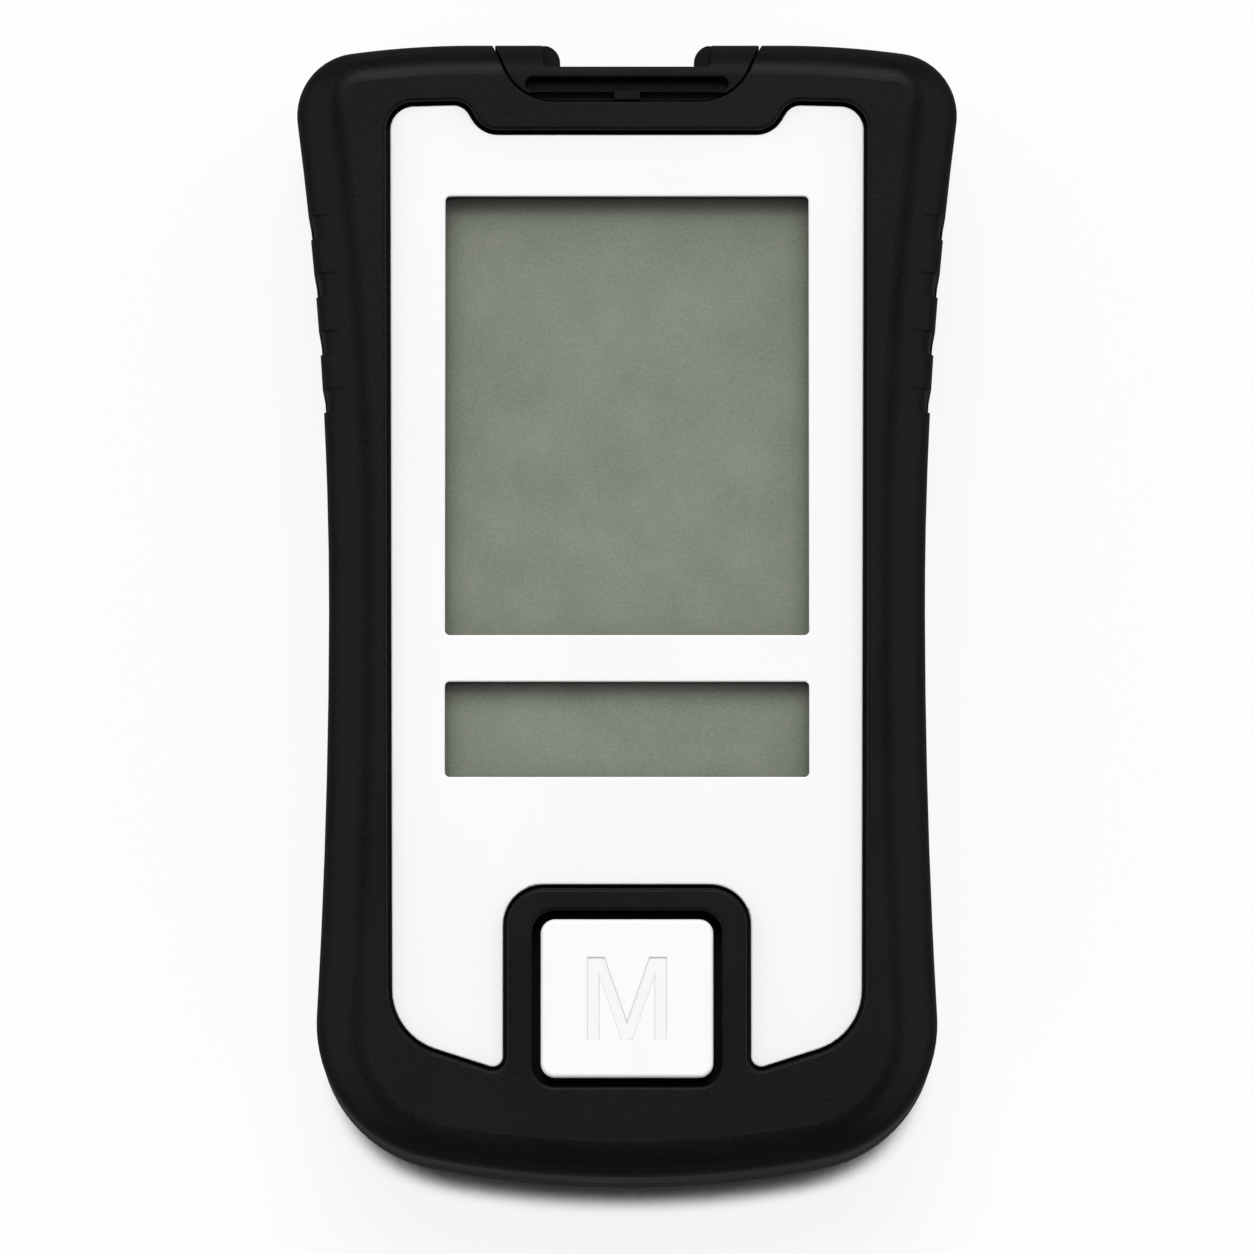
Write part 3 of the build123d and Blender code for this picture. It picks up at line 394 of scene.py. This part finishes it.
# ------------------------------------------------------------------ board and its parts
def board_green():
    """Solder mask over copper tracks: the tracks show as paler, raised lanes."""
    finish = Finish("board_green", tone(18, 74, 46), 0.35)
    slanted = finish.moved(turn=(0, 0, math.radians(45)))
    lanes = finish.cells(2.4 * MM, feature="DISTANCE_TO_EDGE", vector=slanted)
    tracks = finish.spread(lanes, 0.04, 0.09, 1.0, 0.0)
    cloud = finish.noise(4 * MM, detail=3.0)
    mask = finish.between(cloud, tone(16, 68, 42), tone(21, 79, 50))
    finish.paint(finish.between(tracks, mask, tone(38, 112, 68)))
    finish.sheen_of(cloud, 0.28, 0.4)
    finish.relief(tracks, 0.03 * MM, 0.6)
    return finish.material


def chip_black():
    """Epoxy body of a chip."""
    finish = Finish("chip_black", tone(34, 34, 36), 0.55)
    grain = finish.noise(0.1 * MM, detail=3.0)
    finish.paint(finish.between(grain, tone(29, 29, 31), tone(42, 42, 44)))
    finish.sheen_of(grain, 0.48, 0.64)
    finish.relief(grain, 0.006 * MM, 0.6)
    return finish.material


def tinned_ceramic(low_y, high_y):
    """Small parts in a row: brown ceramic bodies with a tinned cap at each end."""
    finish = Finish("tinned_ceramic", tone(120, 92, 66), 0.45)
    half_length = (high_y - low_y) / 2
    cap_start = half_length * 0.6
    cap_full = half_length * 0.63
    _, y, _ = finish.axes()
    away = finish.size_of(finish.minus(y, (low_y + high_y) / 2))
    cap = finish.spread(away, cap_start, cap_full, 0.0, 1.0)
    body = finish.between(finish.noise(0.4 * MM), tone(110, 84, 60), tone(132, 102, 74))
    finish.paint(finish.between(cap, body, tone(196, 196, 194)))
    finish.join(cap, finish.shader.inputs["Metallic"])
    finish.relief(finish.noise(0.2 * MM), 0.01 * MM, 0.5)
    return finish.material


def metal(name, dark, light, smooth, rough, brush_size, stretch=(1.0, 1.0, 1.0)):
    """Bare metal with a brushed or rolled grain."""
    finish = Finish(name, light, smooth, Metallic=1.0)
    brushed = finish.moved(stretch=stretch)
    brush = finish.noise(brush_size, detail=4.0, grit=0.6, vector=brushed)
    cloud = finish.noise(2.5 * MM)
    finish.paint(finish.between(finish.times(brush, cloud), dark, light))
    finish.sheen_of(brush, smooth, rough)
    finish.relief(brush, 0.004 * MM, 0.5)
    return finish.material


def cell_jacket(name, plus_y, direction):
    """Printed sleeve of a cell: dark body, copper-coloured band at the plus end, bare metal caps."""
    finish = Finish(name, tone(40, 42, 48), 0.3)
    cap_end = 1.3 * MM
    band_end = 12.0 * MM
    base_start = 44.0 * MM
    blur = 0.1 * MM
    _, y, _ = finish.axes()
    from_plus = finish.times(finish.minus(y, plus_y), -direction)
    band = finish.spread(from_plus, band_end, band_end + blur, 1.0, 0.0)
    cap = finish.spread(from_plus, cap_end, cap_end + blur, 1.0, 0.0)
    base = finish.spread(from_plus, base_start, base_start + blur, 0.0, 1.0)
    bare = finish.larger(cap, base)
    scuff = finish.noise(1.2 * MM, detail=4.0, vector=finish.moved(stretch=(1.0, 0.3, 1.0)))
    dark = finish.between(scuff, tone(34, 36, 42), tone(50, 52, 58))
    copper = finish.between(scuff, tone(168, 112, 62), tone(190, 132, 78))
    sleeve = finish.between(band, dark, copper)
    finish.paint(finish.between(bare, sleeve, tone(196, 196, 198)))
    finish.join(bare, finish.shader.inputs["Metallic"])
    finish.sheen_of(scuff, 0.24, 0.36)
    finish.relief(scuff, 0.006 * MM, 0.5)
    return finish.material


# ------------------------------------------------------------------ finishes on the nodes
def dress(nodes, material):
    """Gives the CAD pieces their finish."""
    for name in nodes:
        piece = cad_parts[name]
        if piece.data.materials:
            for index in range(len(piece.data.materials)):
                piece.data.materials[index] = material
        else:
            piece.data.materials.append(material)


nickel = metal(
    "nickel_plate", tone(150, 150, 148), tone(206, 206, 204), 0.22, 0.36, 0.2 * MM, (1.0, 0.2, 1.0)
)
gold = metal(
    "gold_plate", tone(190, 146, 72), tone(226, 184, 104), 0.18, 0.3, 0.15 * MM, (1.0, 0.1, 1.0)
)
zinc = metal("zinc_screw", tone(120, 122, 124), tone(176, 178, 180), 0.28, 0.42, 0.12 * MM)

dress(["front_case"], soft_touch_black())
dress(["rear_case", "battery_door"], moulded_black())
dress(["port_cover"], insert_black())
dress(["face_plate"], plate_white(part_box("face_plate")[1]))
dress(["memory_key"], key_white(*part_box("memory_key")))
dress(["display_lens"], clear_window())
dress(["lcd_polariser"], display_field())
dress(["lcd_front_glass", "lcd_rear_glass"], display_glass())
dress(["lcd_reflector"], foil_reflector())
dress(["lcd_holder", "strip_connector"], inner_plastic())
dress(["key_pad"], silicone())
dress(["zebra_strip"], striped_rubber())
dress(["main_board"], board_green())
dress(["processor", "memory_chip", "buzzer"], chip_black())
dress(["crystal", "link_plate", "cell_springs"], nickel)
dress(["positive_terminal", "negative_terminal"], nickel)
dress(["strip_contacts"], gold)
dress(["case_screws", "board_screws"], zinc)

chip_low, chip_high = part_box("chip_parts")
dress(["chip_parts"], tinned_ceramic(chip_low.y, chip_high.y))
left_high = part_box("left_cell")[1]
right_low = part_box("right_cell")[0]
dress(["left_cell"], cell_jacket("left_cell_sleeve", left_high.y, 1.0))
dress(["right_cell"], cell_jacket("right_cell_sleeve", right_low.y, -1.0))


# ------------------------------------------------------------------ table, light and camera
def table_finish():
    """White by a glow in the open; an ambient occlusion mask takes the glow away close to the object
    as a painted shadow, most on the side away from the lamp.
    """
    base = 0.12
    white = 0.87
    glossy_white = 0.1
    lean_y, lean_z = 0.7, 0.7
    shadow_reach = 5.0 * MM
    shadow_full, shadow_none = 0.38, 0.57
    shadow_samples = 24

    material = bpy.data.materials.new("pale_table")
    material.use_nodes = True
    tree = material.node_tree
    shader = tree.nodes["Principled BSDF"]
    shader.inputs["Base Color"].default_value = (base, base, base, 1.0)
    shader.inputs["Roughness"].default_value = 0.9
    shader.inputs["Specular IOR Level"].default_value = 0.0

    path = tree.nodes.new("ShaderNodeLightPath").outputs
    direct = reckon(tree, "MAXIMUM", path["Is Camera Ray"], path["Is Transmission Ray"])
    mirrored = reckon(tree, "MULTIPLY", path["Is Glossy Ray"], glossy_white / white)
    seen = reckon(tree, "MAXIMUM", direct, mirrored)

    lean = tree.nodes.new("ShaderNodeCombineXYZ")
    lean.inputs["Y"].default_value = lean_y
    lean.inputs["Z"].default_value = lean_z
    near = tree.nodes.new("ShaderNodeAmbientOcclusion")
    near.samples = shadow_samples
    near.inputs["Distance"].default_value = shadow_reach
    tree.links.new(lean.outputs["Vector"], near.inputs["Normal"])
    open_floor = remap(tree, near.outputs["AO"], shadow_full, shadow_none, 0.0, white, "SMOOTHSTEP")

    shader.inputs["Emission Color"].default_value = (1.0, 1.0, 1.0, 1.0)
    # painted shadow: the glow fades where the object stands close above the floor
    glow = reckon(tree, "MULTIPLY", seen, open_floor)
    tree.links.new(glow, shader.inputs["Emission Strength"])
    return material


def pale_table():
    """Wide flat floor under the object."""
    half = 3.0
    corners = [(-half, -half, 0), (half, -half, 0), (half, half, 0), (-half, half, 0)]
    mesh = bpy.data.meshes.new("table_top")
    mesh.from_pydata(corners, [], [(0, 1, 2, 3)])
    mesh.materials.append(table_finish())
    table = bpy.data.objects.new("table_top", mesh)
    bpy.context.scene.collection.objects.link(table)


def pale_room():
    """World: bright walls at the sides, dimmer ones at the ends, and a dim ceiling."""
    side_wall = 1.5
    end_wall = 0.3
    ceiling = 0.3
    end_until, side_from = 0.45, 0.85
    wall_until, ceiling_from = 0.4, 0.75

    world = bpy.data.worlds.new("pale_room")
    bpy.context.scene.world = world
    world.use_nodes = True
    tree = world.node_tree
    back = tree.nodes["Background"]
    place = tree.nodes.new("ShaderNodeTexCoord")
    split = tree.nodes.new("ShaderNodeSeparateXYZ")
    tree.links.new(place.outputs["Generated"], split.inputs["Vector"])
    sideways = size_of(tree, split.outputs["X"])
    wall = remap(tree, sideways, end_until, side_from, end_wall, side_wall, "SMOOTHSTEP")
    climb = split.outputs["Z"]
    level = remap(tree, climb, wall_until, ceiling_from, wall, ceiling, "SMOOTHSTEP")
    tree.links.new(level, back.inputs["Color"])
    back.inputs["Strength"].default_value = 1.0


def sun(name, azimuth, elevation, strength, softness):
    """Soft distant lamp that shines from an azimuth (0 is the -Y side) and an elevation."""
    data = bpy.data.lights.new(name, "SUN")
    data.energy = strength
    data.angle = math.radians(softness)
    lamp = bpy.data.objects.new(name, data)
    bpy.context.scene.collection.objects.link(lamp)
    turn, rise = math.radians(azimuth), math.radians(elevation)
    flat = math.cos(rise)
    towards = Vector((math.sin(turn) * flat, -math.cos(turn) * flat, math.sin(rise)))
    lamp.rotation_mode = "QUATERNION"
    lamp.rotation_quaternion = towards.to_track_quat("Z", "Y")


def camera(elevation, distance, width, target):
    """Long lens over the face, a little towards the key end."""
    data = bpy.data.cameras.new("camera")
    data.sensor_width = 36.0
    data.lens = data.sensor_width * distance / width
    data.clip_start = 0.05
    data.clip_end = 20.0
    view = bpy.data.objects.new("camera", data)
    bpy.context.scene.collection.objects.link(view)
    rise = math.radians(elevation)
    back = Vector((0.0, -math.cos(rise), math.sin(rise)))
    view.location = Vector(target) + back * distance
    view.rotation_mode = "QUATERNION"
    view.rotation_quaternion = (-back).to_track_quat("-Z", "Y")
    bpy.context.scene.camera = view


pale_table()
pale_room()
sun("key_light", azimuth=180, elevation=57, strength=2.03, softness=38)
camera(elevation=84.6, distance=1.2, width=105.3 * MM, target=(0.0, -0.8 * MM, 11.25 * MM))
bpy.context.scene.view_settings.view_transform = "Standard"
